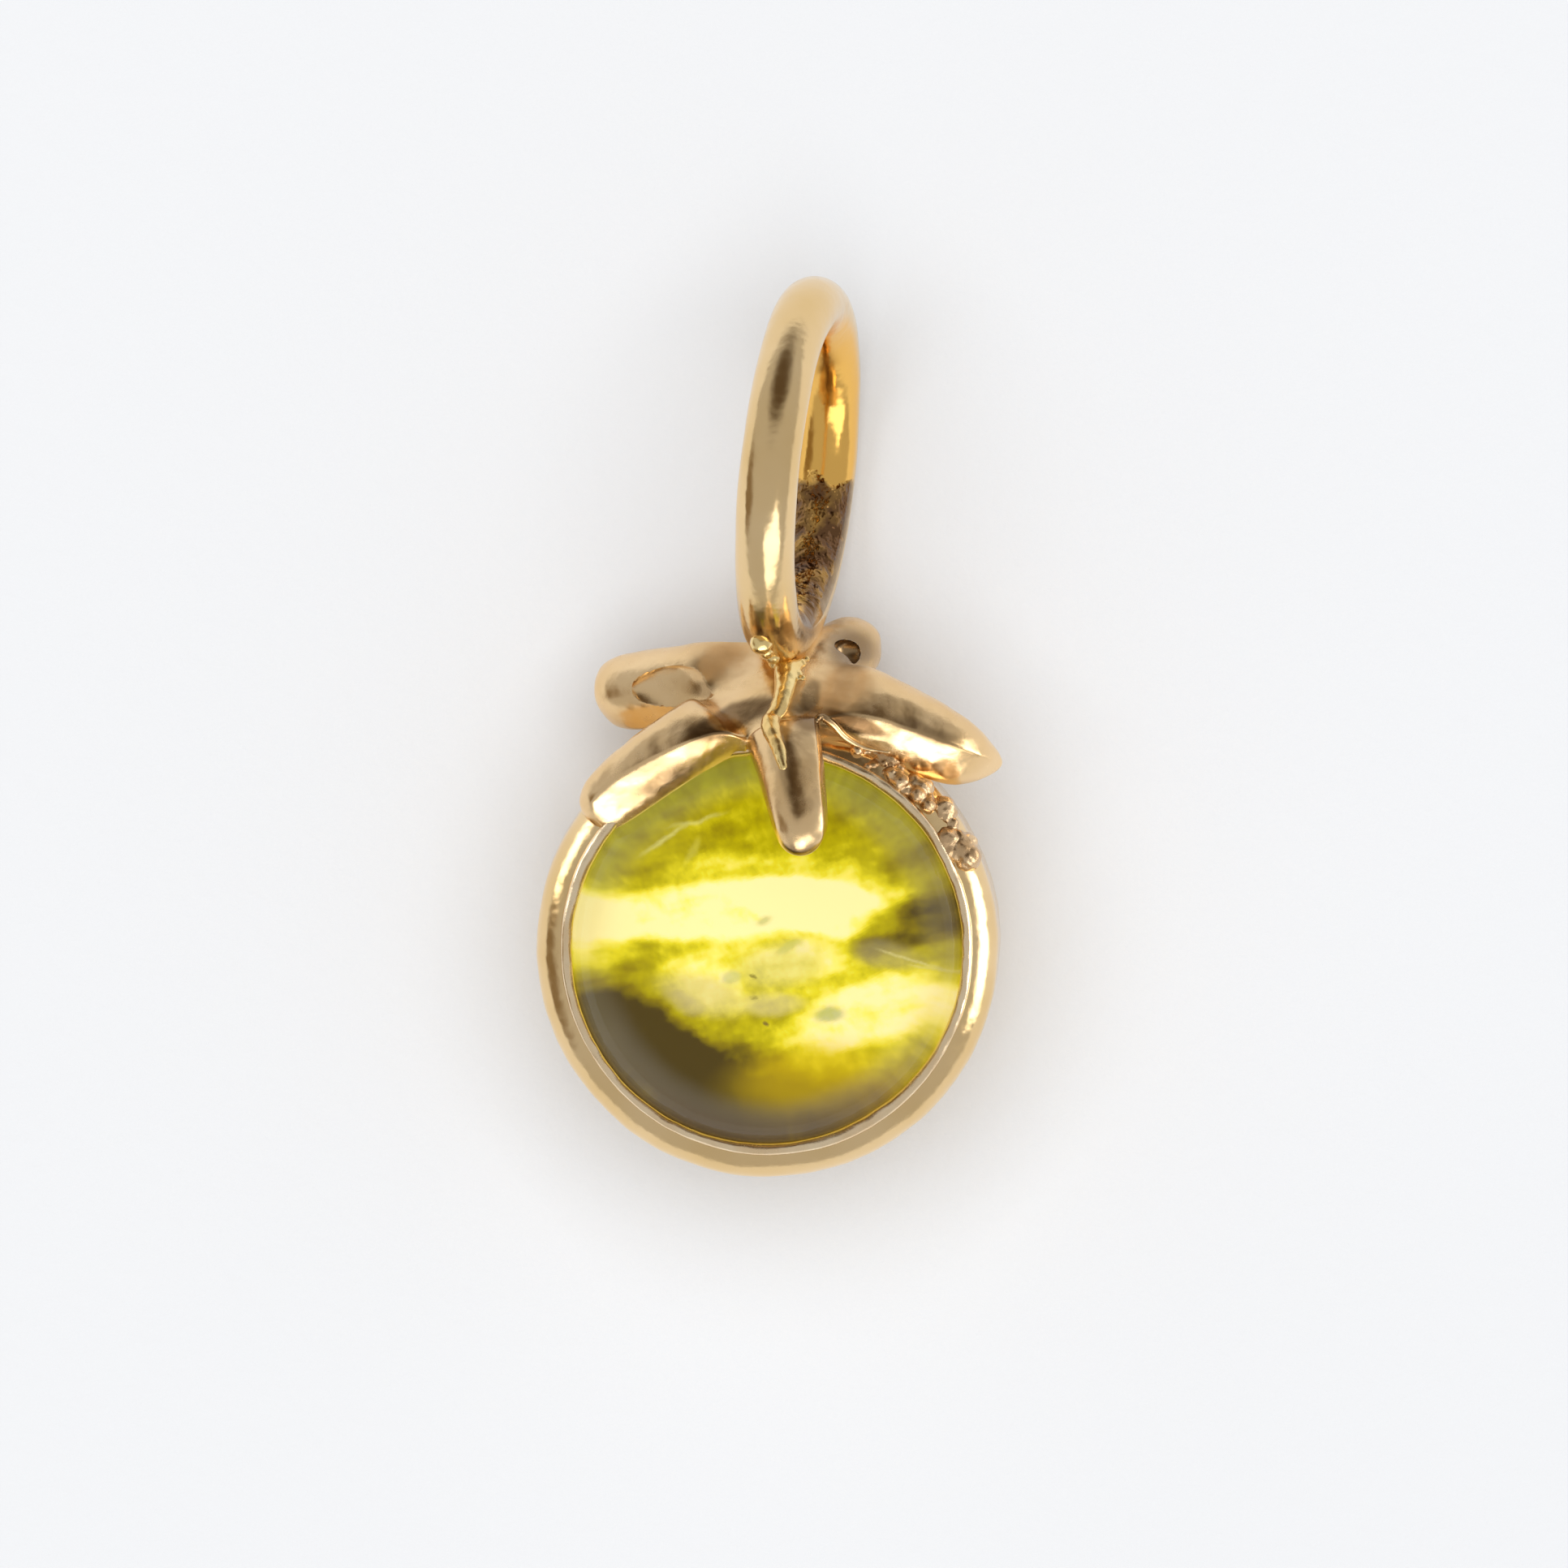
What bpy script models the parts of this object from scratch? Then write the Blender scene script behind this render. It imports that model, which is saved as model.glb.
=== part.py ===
# A gold tomato charm for a necklace, lying on its back. A round bezel cup holds a green cabochon,
# a calyx of five chunky sepals is soldered over the cup's shoulder, and a round wire bail stands
# on the calyx. X runs across the charm, Y from the cup towards the bail, and Z up from the table.

import math

import bmesh
import bpy
from mathutils import Matrix, Vector

MM = 0.001
GAP = 0.04 * MM  # clearance between neighbours that are soldered or seated together
SHARP_FROM = math.radians(40)

# Stone: a round cabochon with a short straight girdle
STONE_RADIUS = 2.50 * MM
STONE_BASE_Z = 1.68 * MM
STONE_GIRDLE_Z = 2.70 * MM
STONE_DOME = 1.30 * MM
STONE_CHAMFER = 0.15 * MM
DOME_STEPS = 8

# Bezel cup: a bulged wall, a flat back and a thin lip pressed over the stone
CUP_RADIUS = 2.88 * MM
CUP_BELLY_Z = 1.50 * MM
CUP_BACK_FLAT = 1.90 * MM
CUP_SHOULDER_RADIUS = 2.58 * MM
CUP_SHOULDER_Z = 2.92 * MM
CUP_SEAT_RADIUS = 2.15 * MM
CUP_FLOOR_Z = 0.55 * MM
LIP_RADIUS = 2.42 * MM
LIP_TOP_Z = 3.15 * MM
LIP_EDGE = 0.05 * MM  # rounding of the lip's rim
LIP_PRESS = 0.30 * MM  # height over which the lip leans in from the bore to the stone
SETTING_SHIFT = Vector((-0.03, -0.10, 0)) * MM  # the setting sits a little low on the round body
WALL_STEPS = 6
ROUND_STEPS = 48

# Bail: a plain ring of round wire that leans to the right and is turned a little off edge-on
BAIL_RADIUS = 2.055 * MM
BAIL_WIRE = 0.37 * MM
BAIL_LEAN = math.radians(6.2)
BAIL_TURN = math.radians(9.8)
BAIL_CENTRE_Z = BAIL_RADIUS * math.cos(BAIL_TURN) + BAIL_WIRE  # its lower limb lies on the table
BAIL_CENTRE = Vector((0.354 * MM, 5.858 * MM, BAIL_CENTRE_Z))
BAIL_STEPS = 56
BAIL_WIRE_STEPS = 14

# Calyx hub: the middle, and the corners between neighbouring sepals, on the top and the bottom
HUB_TOP = (0.20, 3.62, 2.42)
HUB_BOTTOM = (0.15, 2.62, 2.15)
NOTCHES = {
    "right_back": ((0.92, 3.56, 1.90), (0.87, 2.90, 1.72)),
    "right_front": ((0.62, 2.82, 3.12), (0.60, 2.35, 2.72)),
    "left_front": ((-0.28, 2.62, 3.22), (-0.29, 2.20, 2.80)),
    "left_back": ((-0.90, 3.10, 2.30), (-0.85, 2.45, 2.10)),
    "back": ((0.10, 3.80, 1.72), (0.15, 2.90, 1.60)),
}

# Sepals, going round the hub. Each station has its middle, half width, half thickness and the way
# that its upper face looks. A sepal lies between the notch named after it and the one before.
SEPALS = [
    {
        "name": "back_right",
        "notch": "right_back",
        "stations": [
            ((0.72, 3.45, 1.45), 0.40, 0.32, (0.05, 0.97, 0.20)),
            ((0.97, 3.61, 1.02), 0.38, 0.32, (0.05, 0.97, 0.20)),
            ((1.15, 3.73, 0.66), 0.31, 0.28, (0.00, 0.95, 0.30)),
        ],
    },
    {
        "name": "front_right",
        "notch": "right_front",
        "stations": [
            ((1.02, 2.98, 2.55), 0.58, 0.32, (0.15, 0.86, 0.48)),
            ((1.52, 2.77, 2.58), 0.57, 0.33, (0.28, 0.82, 0.50)),
            ((2.03, 2.46, 2.52), 0.52, 0.34, (0.38, 0.77, 0.50)),
            ((2.46, 2.25, 2.44), 0.38, 0.28, (0.38, 0.78, 0.48)),
            ((2.84, 2.22, 2.36), 0.11, 0.10, (0.36, 0.80, 0.48)),
        ],
    },
    {
        "name": "front",
        "notch": "left_front",
        "stations": [
            ((0.16, 2.62, 3.22), 0.44, 0.27, (0.00, 0.62, 0.78)),
            ((0.26, 2.12, 3.60), 0.40, 0.26, (0.03, 0.50, 0.86)),
            ((0.32, 1.66, 3.88), 0.36, 0.25, (0.05, 0.36, 0.92)),
            ((0.37, 1.28, 4.06), 0.31, 0.24, (0.06, 0.24, 0.97)),
            ((0.35, 1.09, 4.02), 0.19, 0.17, (0.00, -0.10, 0.99)),
        ],
    },
    {
        "name": "front_left",
        "notch": "left_back",
        "stations": [
            ((-0.62, 2.72, 2.92), 0.46, 0.32, (-0.18, 0.82, 0.52)),
            ((-1.04, 2.41, 3.00), 0.44, 0.34, (-0.40, 0.80, 0.42)),
            ((-1.48, 2.10, 3.05), 0.42, 0.32, (-0.44, 0.78, 0.42)),
            ((-1.92, 1.76, 3.04), 0.36, 0.29, (-0.50, 0.74, 0.42)),
            ((-2.20, 1.52, 3.00), 0.22, 0.19, (-0.52, 0.72, 0.42)),
        ],
    },
    {
        "name": "back_left",
        "notch": "back",
        "stations": [
            ((-0.62, 3.28, 2.02), 0.40, 0.36, (-0.15, 0.92, 0.34)),
            ((-1.02, 3.22, 1.80), 0.36, 0.36, (-0.24, 0.88, 0.38)),
            ((-1.44, 3.15, 1.56), 0.34, 0.39, (-0.28, 0.87, 0.40)),
            ((-1.88, 3.08, 1.32), 0.30, 0.38, (-0.30, 0.86, 0.40)),
        ],
    },
]
SEPAL_CROWN = 0.16  # how far the middle of a face stands over its edges, as a share of the half thickness
ROOT_RISE = 0.08 * MM  # how far a sepal's root swells over its two notches, above and below
TIP_BULGE = 0.10 * MM
SEPAL_LEVELS = 2
SEPAL_EDGE = 0.45  # crease of the sepals' upper edges

# Lens-shaped hollow in the side of the back left sepal: its middle, half sizes and slope
HOLLOW_MIDDLE = (-1.20, 3.10, 2.19)
HOLLOW_HALF = (0.60, 0.33, 0.24)
HOLLOW_SLOPE = math.radians(-28)

# Solder at the foot of the bail: beads on the calyx as X, Y and radius, and a run down its front as
# X and Y
SOLDER_BEADS = [
    (-0.24, 3.50, 0.18),
    (-0.08, 3.44, 0.21),
    (0.10, 3.40, 0.22),
    (0.28, 3.40, 0.24),
    (0.46, 3.46, 0.21),
    (0.60, 3.58, 0.17),
]
BEAD_SINK = 0.3  # how deep a bead sits in the calyx, as a share of its radius
SOLDER_RUN = [(0.24, 3.38), (0.19, 3.12), (0.10, 2.86), (0.01, 2.68), (0.05, 2.46), (0.14, 2.20)]
SOLDER_RUN_RADIUS = 0.13
SOLDER_RUN_STEPS = 3  # lumps along each stretch of the run

# Solder grains along the lip, under the right front sepal
GRAIN_COUNT = 14
GRAIN_FIRST = math.radians(62)
GRAIN_LAST = math.radians(27)
GRAIN_RADIUS = 0.16
GRAIN_RING_RADIUS = 2.64
GRAIN_HEIGHT = 2.88
GRAIN_SPREAD = 0.05  # how far grains stray from the row and from its height
GRAIN_VARIETY = 0.03  # how much their radius varies


def millimetres(*values):
    return Vector(values) * MM


def clear_scene():
    for obj in list(bpy.data.objects):
        bpy.data.objects.remove(obj)


def principled(name, colour, metallic, roughness, transmission=0.0):
    material = bpy.data.materials.new(name)
    material.use_nodes = True
    shader = material.node_tree.nodes["Principled BSDF"]
    shader.inputs["Base Color"].default_value = (*colour, 1)
    shader.inputs["Metallic"].default_value = metallic
    shader.inputs["Roughness"].default_value = roughness
    shader.inputs["Transmission Weight"].default_value = transmission
    return material


def add_object(name, mesh_data, material):
    """Turns a bmesh into a smooth-shaded object with its normals pointing out."""
    bmesh.ops.recalc_face_normals(mesh_data, faces=mesh_data.faces)
    mesh = bpy.data.meshes.new(name)
    mesh_data.to_mesh(mesh)
    mesh_data.free()
    mesh.materials.append(material)
    mesh.shade_smooth()
    mesh.set_sharp_from_angle(angle=SHARP_FROM)
    obj = bpy.data.objects.new(name, mesh)
    bpy.context.scene.collection.objects.link(obj)
    return obj


def turned(name, profile, material, steps=ROUND_STEPS):
    """A solid of revolution about Z. A profile point is radius, height and its share of the setting's
    shift, and the first and last points lie on the axis."""
    made = bmesh.new()
    rings = []
    for radius, height, share in profile:
        middle = SETTING_SHIFT * share + Vector((0, 0, height))
        if radius == 0:
            rings.append([made.verts.new(middle)])
            continue
        turns = (2 * math.pi * k / steps for k in range(steps))
        rings.append(
            [made.verts.new(middle + Vector((math.cos(a), math.sin(a), 0)) * radius) for a in turns]
        )
    for low, high in zip(rings, rings[1:]):
        for k in range(steps):
            after = (k + 1) % steps
            corners = [low[k % len(low)], low[after % len(low)], high[after % len(high)], high[k % len(high)]]
            made.faces.new(list(dict.fromkeys(corners)))
    return add_object(name, made, material)


def arc(start, end, count, centre_radius, centre_height, radius_x, radius_z):
    """Points of an ellipse in the profile's plane, from one angle to another."""
    angles = [start + (end - start) * k / count for k in range(count + 1)]
    return [
        (centre_radius + radius_x * math.cos(a), centre_height + radius_z * math.sin(a)) for a in angles
    ]


def make_stone(material):
    dome = arc(0, math.pi / 2, DOME_STEPS, 0, STONE_GIRDLE_Z, STONE_RADIUS, STONE_DOME)[:-1]
    profile = [
        (0, STONE_BASE_Z),
        (STONE_RADIUS - STONE_CHAMFER, STONE_BASE_Z),
        (STONE_RADIUS, STONE_BASE_Z + STONE_CHAMFER),
        *dome,
        (0, STONE_GIRDLE_Z + STONE_DOME),
    ]
    return turned("cabochon", [(r, z, 1) for r, z in profile], material)


def make_cup(material):
    bulge = CUP_RADIUS - CUP_BACK_FLAT
    below = arc(-math.pi / 2, 0, WALL_STEPS, CUP_BACK_FLAT, CUP_BELLY_Z, bulge, CUP_BELLY_Z)
    turn = math.acos(CUP_SHOULDER_RADIUS / CUP_RADIUS)
    rise = (CUP_SHOULDER_Z - CUP_BELLY_Z) / math.sin(turn)
    above = arc(0, turn, WALL_STEPS, 0, CUP_BELLY_Z, CUP_RADIUS, rise)[1:]
    outside = [(r, z, max(0, (z - CUP_BELLY_Z) / (CUP_SHOULDER_Z - CUP_BELLY_Z))) for r, z in below + above]
    bore = STONE_RADIUS + GAP
    lip = [
        (CUP_SHOULDER_RADIUS, LIP_TOP_Z - 2 * LIP_EDGE),
        (CUP_SHOULDER_RADIUS - LIP_EDGE, LIP_TOP_Z),
        (LIP_RADIUS + LIP_EDGE, LIP_TOP_Z),
        (LIP_RADIUS, LIP_TOP_Z - LIP_EDGE),
        (bore - LIP_EDGE, LIP_TOP_Z - LIP_PRESS / 2),
        (bore, LIP_TOP_Z - LIP_PRESS),
    ]
    inside = [
        (bore, STONE_BASE_Z - GAP),
        (CUP_SEAT_RADIUS, STONE_BASE_Z - GAP),
        (CUP_SEAT_RADIUS, CUP_FLOOR_Z),
        (0, CUP_FLOOR_Z),
    ]
    setting = [(r, z, 1) for r, z in lip + inside]
    return turned("bezel_cup", [(0, 0, 0), *outside, *setting], material)


def bail_axes():
    """The bail's own directions: up along its lean, out towards its upper limb, and across the wire loop."""
    up = Vector((math.sin(BAIL_LEAN), math.cos(BAIL_LEAN), 0))
    side = Vector((math.cos(BAIL_LEAN), -math.sin(BAIL_LEAN), 0))
    near = Vector((0, 0, 1)) * math.cos(BAIL_TURN) - side * math.sin(BAIL_TURN)
    return up, near, up.cross(near)


def make_bail(material):
    up, near, across = bail_axes()
    made = bmesh.new()
    rings = []
    for k in range(BAIL_STEPS):
        a = 2 * math.pi * k / BAIL_STEPS
        out = up * math.cos(a) + near * math.sin(a)
        ring = []
        for j in range(BAIL_WIRE_STEPS):
            b = 2 * math.pi * j / BAIL_WIRE_STEPS
            offset = (out * math.cos(b) + across * math.sin(b)) * BAIL_WIRE
            ring.append(made.verts.new(BAIL_CENTRE + out * BAIL_RADIUS + offset))
        rings.append(ring)
    for k, ring in enumerate(rings):
        following = rings[(k + 1) % BAIL_STEPS]
        for j in range(BAIL_WIRE_STEPS):
            after = (j + 1) % BAIL_WIRE_STEPS
            made.faces.new((ring[j], ring[after], following[after], following[j]))
    return add_object("bail_ring", made, material)


def sepal_rings(made, sepal):
    """Eight cage points round each station, from the upper edge next to the sepal before this one."""
    middles = [millimetres(*station[0]) for station in sepal["stations"]]
    rings = []
    for k, (_, half_width, half_thickness, faces) in enumerate(sepal["stations"]):
        along = (middles[min(k + 1, len(middles) - 1)] - middles[max(k - 1, 0)]).normalized()
        facing = Vector(faces)
        facing = (facing - along * facing.dot(along)).normalized()
        across = along.cross(facing) * half_width * MM
        normal = facing * half_thickness * MM
        crown = 1 + SEPAL_CROWN
        offsets = [
            normal - across,
            normal * crown,
            normal + across,
            across * crown,
            across - normal,
            -normal * crown,
            -normal - across,
            -across * crown,
        ]
        rings.append([made.verts.new(middles[k] + offset) for offset in offsets])
    return rings


def hub_corners(made):
    """Upper, middle and lower corner at each notch between two sepals."""
    corners = {}
    for name, (top, bottom) in NOTCHES.items():
        high, low = millimetres(*top), millimetres(*bottom)
        corners[name] = [made.verts.new(p) for p in (high, (high + low) / 2, low)]
    return corners


def cap_tip(made, ring):
    """Closes a sepal's end with four faces round a middle point."""
    middle = sum((v.co for v in ring), Vector()) / len(ring)
    outward = (ring[2].co - ring[0].co).cross(ring[6].co - ring[0].co).normalized()
    centre = made.verts.new(middle + outward * TIP_BULGE)
    for corner in (0, 2, 4, 6):
        made.faces.new((ring[corner], ring[(corner + 1) % 8], centre, ring[corner - 1]))


def make_calyx(material):
    made = bmesh.new()
    corners = hub_corners(made)
    names = [sepal["notch"] for sepal in SEPALS]
    roots = []
    for k, sepal in enumerate(SEPALS):
        before, after = corners[names[k - 1]], corners[names[k]]
        facing = Vector(sepal["stations"][0][3])
        lift = facing * ROOT_RISE
        root_top = made.verts.new((before[0].co + after[0].co) / 2 + lift)
        root_bottom = made.verts.new((before[2].co + after[2].co) / 2 - lift)
        roots.append((root_top, root_bottom))
        root = [before[0], root_top, after[0], after[1], after[2], root_bottom, before[2], before[1]]
        rings = [root, *sepal_rings(made, sepal)]
        for ring, following in zip(rings, rings[1:]):
            for j in range(8):
                made.faces.new((ring[j], ring[(j + 1) % 8], following[(j + 1) % 8], following[j]))
        cap_tip(made, rings[-1])
        crease_edges(made, rings)
    centres = (made.verts.new(millimetres(*HUB_TOP)), made.verts.new(millimetres(*HUB_BOTTOM)))
    for k, name in enumerate(names):
        following = roots[(k + 1) % len(roots)]
        for level, corner in ((0, 0), (1, 2)):
            made.faces.new((centres[level], roots[k][level], corners[name][corner], following[level]))
    calyx = add_object("calyx", made, material)
    smooth = calyx.modifiers.new("Rounding", "SUBSURF")
    smooth.levels = SEPAL_LEVELS
    smooth.render_levels = SEPAL_LEVELS
    return calyx


def make_hollow():
    """The tool shape for the hollow in the back left sepal, a flattened ball."""
    made = bmesh.new()
    bmesh.ops.create_uvsphere(made, u_segments=20, v_segments=10, radius=MM)
    bmesh.ops.scale(made, vec=Vector(HOLLOW_HALF), verts=made.verts)
    bmesh.ops.rotate(made, matrix=Matrix.Rotation(HOLLOW_SLOPE, 3, "Y"), verts=made.verts)
    bmesh.ops.translate(made, vec=millimetres(*HOLLOW_MIDDLE), verts=made.verts)
    mesh = bpy.data.meshes.new("sepal_hollow")
    made.to_mesh(mesh)
    made.free()
    hollow = bpy.data.objects.new("sepal_hollow", mesh)
    bpy.context.scene.collection.objects.link(hollow)
    hollow.hide_render = True
    hollow.display_type = "WIRE"
    return hollow


def crease_edges(made, rings):
    """Holds the two upper edges of a sepal, and the upper rim of its tip, a little sharp."""
    layer = made.edges.layers.float.get("crease_edge") or made.edges.layers.float.new("crease_edge")
    pairs = [(low[j], high[j]) for low, high in zip(rings, rings[1:]) for j in (0, 2)]
    pairs += [(rings[-1][0], rings[-1][1]), (rings[-1][1], rings[-1][2])]
    for first, second in pairs:
        edge = made.edges.get((first, second))
        edge[layer] = SEPAL_EDGE


def hidden_copy(obj, name, grow):
    """A helper the size of an object's finished surface grown by a clearance, for cutting neighbours."""
    graph = bpy.context.evaluated_depsgraph_get()
    mesh = bpy.data.meshes.new_from_object(obj.evaluated_get(graph))
    copy = bpy.data.objects.new(name, mesh)
    bpy.context.scene.collection.objects.link(copy)
    swell = copy.modifiers.new("Clearance", "DISPLACE")
    swell.strength = grow
    swell.mid_level = 0
    copy.hide_render = True
    copy.display_type = "WIRE"
    return copy


def cut(obj, cutter):
    carve = obj.modifiers.new("Clear of " + cutter.name, "BOOLEAN")
    carve.operation = "DIFFERENCE"
    carve.object = cutter


def fused(name, blobs, material):
    """Joins overlapping rounded lumps into one body. The first lump carries the unions."""
    body = blobs[0]
    rest = bpy.data.collections.new(name + "_lumps")
    for blob in blobs[1:]:
        rest.objects.link(blob)
    join = body.modifiers.new("Join", "BOOLEAN")
    join.operation = "UNION"
    join.operand_type = "COLLECTION"
    join.collection = rest
    bpy.context.view_layer.update()
    graph = bpy.context.evaluated_depsgraph_get()
    mesh = bpy.data.meshes.new_from_object(body.evaluated_get(graph))
    for blob in blobs:
        bpy.data.objects.remove(blob)
    bpy.data.collections.remove(rest)
    joined = bpy.data.objects.new(name, mesh)
    bpy.context.scene.collection.objects.link(joined)
    mesh.materials.clear()
    mesh.materials.append(material)
    mesh.shade_smooth()
    return joined


def lump(name, middle, radius, material):
    made = bmesh.new()
    bmesh.ops.create_icosphere(made, subdivisions=2, radius=radius)
    bmesh.ops.translate(made, vec=middle, verts=made.verts)
    return add_object(name, made, material)


def height_over(obj, x, y):
    """Z of an object's upper surface straight above a point of the table."""
    graph = bpy.context.evaluated_depsgraph_get()
    hit, place, _, _ = obj.evaluated_get(graph).ray_cast(Vector((x, y, 20 * MM)), Vector((0, 0, -1)))
    return place.z if hit else 0


def make_bail_solder(calyx, material):
    blobs = []
    for x, y, radius in SOLDER_BEADS:
        middle = millimetres(x, y, 0)
        middle.z = height_over(calyx, middle.x, middle.y) - BEAD_SINK * radius * MM
        blobs.append(lump("bead", middle, radius * MM, material))
    for (x0, y0), (x1, y1) in zip(SOLDER_RUN, SOLDER_RUN[1:]):
        for k in range(SOLDER_RUN_STEPS):
            share = k / SOLDER_RUN_STEPS
            middle = millimetres(x0 + (x1 - x0) * share, y0 + (y1 - y0) * share, 0)
            middle.z = height_over(calyx, middle.x, middle.y)
            blobs.append(lump("run", middle, SOLDER_RUN_RADIUS * MM, material))
    return fused("bail_solder", blobs, material)


def make_seam_solder(material):
    blobs = []
    for k in range(GRAIN_COUNT):
        share = k / (GRAIN_COUNT - 1)
        angle = GRAIN_FIRST + (GRAIN_LAST - GRAIN_FIRST) * share
        ring = (GRAIN_RING_RADIUS + GRAIN_SPREAD * math.sin(2.4 * k)) * MM
        radius = (GRAIN_RADIUS + GRAIN_VARIETY * math.sin(1.7 * k + 1)) * MM
        height = (GRAIN_HEIGHT + GRAIN_SPREAD * math.cos(3.1 * k)) * MM
        middle = SETTING_SHIFT + Vector((ring * math.cos(angle), ring * math.sin(angle), height))
        blobs.append(lump("grain", middle, radius, material))
    return fused("seam_solder", blobs, material)


def main():
    clear_scene()
    gold = principled("gold", (0.86, 0.64, 0.36), 1.0, 0.10)
    solder = principled("solder", (0.90, 0.66, 0.28), 1.0, 0.16)
    peridot = principled("peridot", (0.62, 0.66, 0.06), 0.0, 0.04, 0.8)

    stone = make_stone(peridot)
    cup = make_cup(gold)
    bail = make_bail(gold)
    calyx = make_calyx(gold)
    bail_solder = make_bail_solder(calyx, solder)
    seam_solder = make_seam_solder(solder)

    cup_clearance = hidden_copy(cup, "cup_clearance", GAP)
    stone_clearance = hidden_copy(stone, "stone_clearance", GAP)
    bail_clearance = hidden_copy(bail, "bail_clearance", GAP)
    calyx_clearance = hidden_copy(calyx, "calyx_clearance", GAP)
    cut(calyx, make_hollow())
    for obj in (calyx, bail_solder, seam_solder):
        cut(obj, cup_clearance)
    for obj in (calyx, bail_solder, seam_solder):
        cut(obj, stone_clearance)
    for obj in (calyx, bail_solder):
        cut(obj, bail_clearance)
    for obj in (bail_solder, seam_solder):
        cut(obj, calyx_clearance)


main()
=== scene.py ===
import math
import random

import bmesh
import bpy
from mathutils import Matrix, Vector, noise
from mathutils.bvhtree import BVHTree


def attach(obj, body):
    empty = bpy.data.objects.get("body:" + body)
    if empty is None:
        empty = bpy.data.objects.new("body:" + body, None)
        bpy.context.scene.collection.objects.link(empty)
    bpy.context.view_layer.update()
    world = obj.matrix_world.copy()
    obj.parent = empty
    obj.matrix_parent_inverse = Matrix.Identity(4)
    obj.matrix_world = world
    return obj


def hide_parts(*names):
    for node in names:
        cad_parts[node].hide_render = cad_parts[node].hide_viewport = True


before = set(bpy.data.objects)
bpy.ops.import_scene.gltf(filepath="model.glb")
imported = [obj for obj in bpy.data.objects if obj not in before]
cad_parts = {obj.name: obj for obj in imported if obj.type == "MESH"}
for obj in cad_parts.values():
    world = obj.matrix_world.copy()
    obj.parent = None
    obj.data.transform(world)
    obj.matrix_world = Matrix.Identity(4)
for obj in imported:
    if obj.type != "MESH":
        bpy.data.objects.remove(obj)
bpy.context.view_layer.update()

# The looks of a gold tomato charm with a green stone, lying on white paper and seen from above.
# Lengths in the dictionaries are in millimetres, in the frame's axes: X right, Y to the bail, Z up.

mm = 0.001


# Helpers

def point(values):
    return Vector(values) * mm


def addPiece(name, made, materials, replaced):
    mesh = bpy.data.meshes.new(name)
    made.to_mesh(mesh)
    made.free()
    return addMesh(name, mesh, materials, replaced)


def addMesh(name, mesh, materials, replaced):
    for material in materials:
        mesh.materials.append(material)
    mesh.shade_smooth()
    piece = bpy.data.objects.new(name, mesh)
    bpy.context.scene.collection.objects.link(piece)
    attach(piece, "root")
    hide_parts(replaced)
    return piece


def finished(piece):
    graph = bpy.context.evaluated_depsgraph_get()
    return bpy.data.meshes.new_from_object(piece.evaluated_get(graph))


def uneven(made, size, depth, seed):
    # Pushes points along their normals by smooth noise, as a hand leaves polished metal
    made.normal_update()
    shift = Vector((seed, seed * 1.7, -seed))
    moves = [v.normal * noise.noise(v.co / (size * mm) + shift) * depth * mm for v in made.verts]
    for vert, move in zip(made.verts, moves):
        vert.co += move


def lathe(profile, steps, shape=None):
    # Turns a profile of radius, height and material about Z. shape may shift each point by its angle
    made = bmesh.new()
    rings = []
    for radius, height, _ in profile:
        if radius == 0:
            rings.append([made.verts.new(point((0, 0, height)))])
            continue
        ring = []
        for k in range(steps):
            angle = 2 * math.pi * k / steps
            r, z = shape(radius, height, angle) if shape else (radius, height)
            ring.append(made.verts.new(point((r * math.cos(angle), r * math.sin(angle), z))))
        rings.append(ring)
    for index, (low, high) in enumerate(zip(rings, rings[1:])):
        for k in range(steps):
            after = (k + 1) % steps
            corners = [
                low[k % len(low)], low[after % len(low)],
                high[after % len(high)], high[k % len(high)],
            ]
            face = made.faces.new(list(dict.fromkeys(corners)))  # a ring of one point gives triangles
            face.material_index = profile[index + 1][2]
    return made


def surfaceHeight(tree, x, y):
    # How high a surface is at X and Y, found by looking down on it
    place, _, _, _ = tree.ray_cast(point((x, y, 20)), Vector((0, 0, -1)))
    return place.z if place else 0


def curvePoints(points, steps):
    # A smooth path through points, with steps parts between each two of them
    path = []
    for k in range(len(points) - 1):
        before, start = points[max(k - 1, 0)], points[k]
        end, after = points[k + 1], points[min(k + 2, len(points) - 1)]
        for j in range(steps):
            t = j / steps
            path.append(
                0.5 * (2 * start + (end - before) * t + (2 * before - 5 * start + 4 * end - after) * t * t
                       + (3 * start - before - 3 * end + after) * t ** 3)
            )
    return path + [points[-1]]


# Materials

def newMaterial(name):
    material = bpy.data.materials.new(name)
    material.use_nodes = True
    tree = material.node_tree
    return material, tree, tree.nodes["Principled BSDF"]


def node(tree, kind, **values):
    made = tree.nodes.new(kind)
    for key, value in values.items():
        setattr(made, key, value)
    return made


def coordinates(tree, scale=(1, 1, 1), place=(0, 0, 0), turn=(0, 0, 0)):
    # Object coordinates in millimetres, stretched, turned and moved as asked
    source = node(tree, "ShaderNodeTexCoord")
    mapping = node(tree, "ShaderNodeMapping", vector_type="TEXTURE")
    mapping.inputs["Location"].default_value = [v * mm for v in place]
    mapping.inputs["Rotation"].default_value = turn
    mapping.inputs["Scale"].default_value = [mm / v for v in scale]
    tree.links.new(source.outputs["Object"], mapping.inputs["Vector"])
    return mapping.outputs["Vector"]


def noiseValue(tree, where, scale, detail=3.0, rough=0.5):
    made = node(tree, "ShaderNodeTexNoise")
    made.inputs["Scale"].default_value = scale
    made.inputs["Detail"].default_value = detail
    made.inputs["Roughness"].default_value = rough
    tree.links.new(where, made.inputs["Vector"])
    return made.outputs["Fac"]


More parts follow.
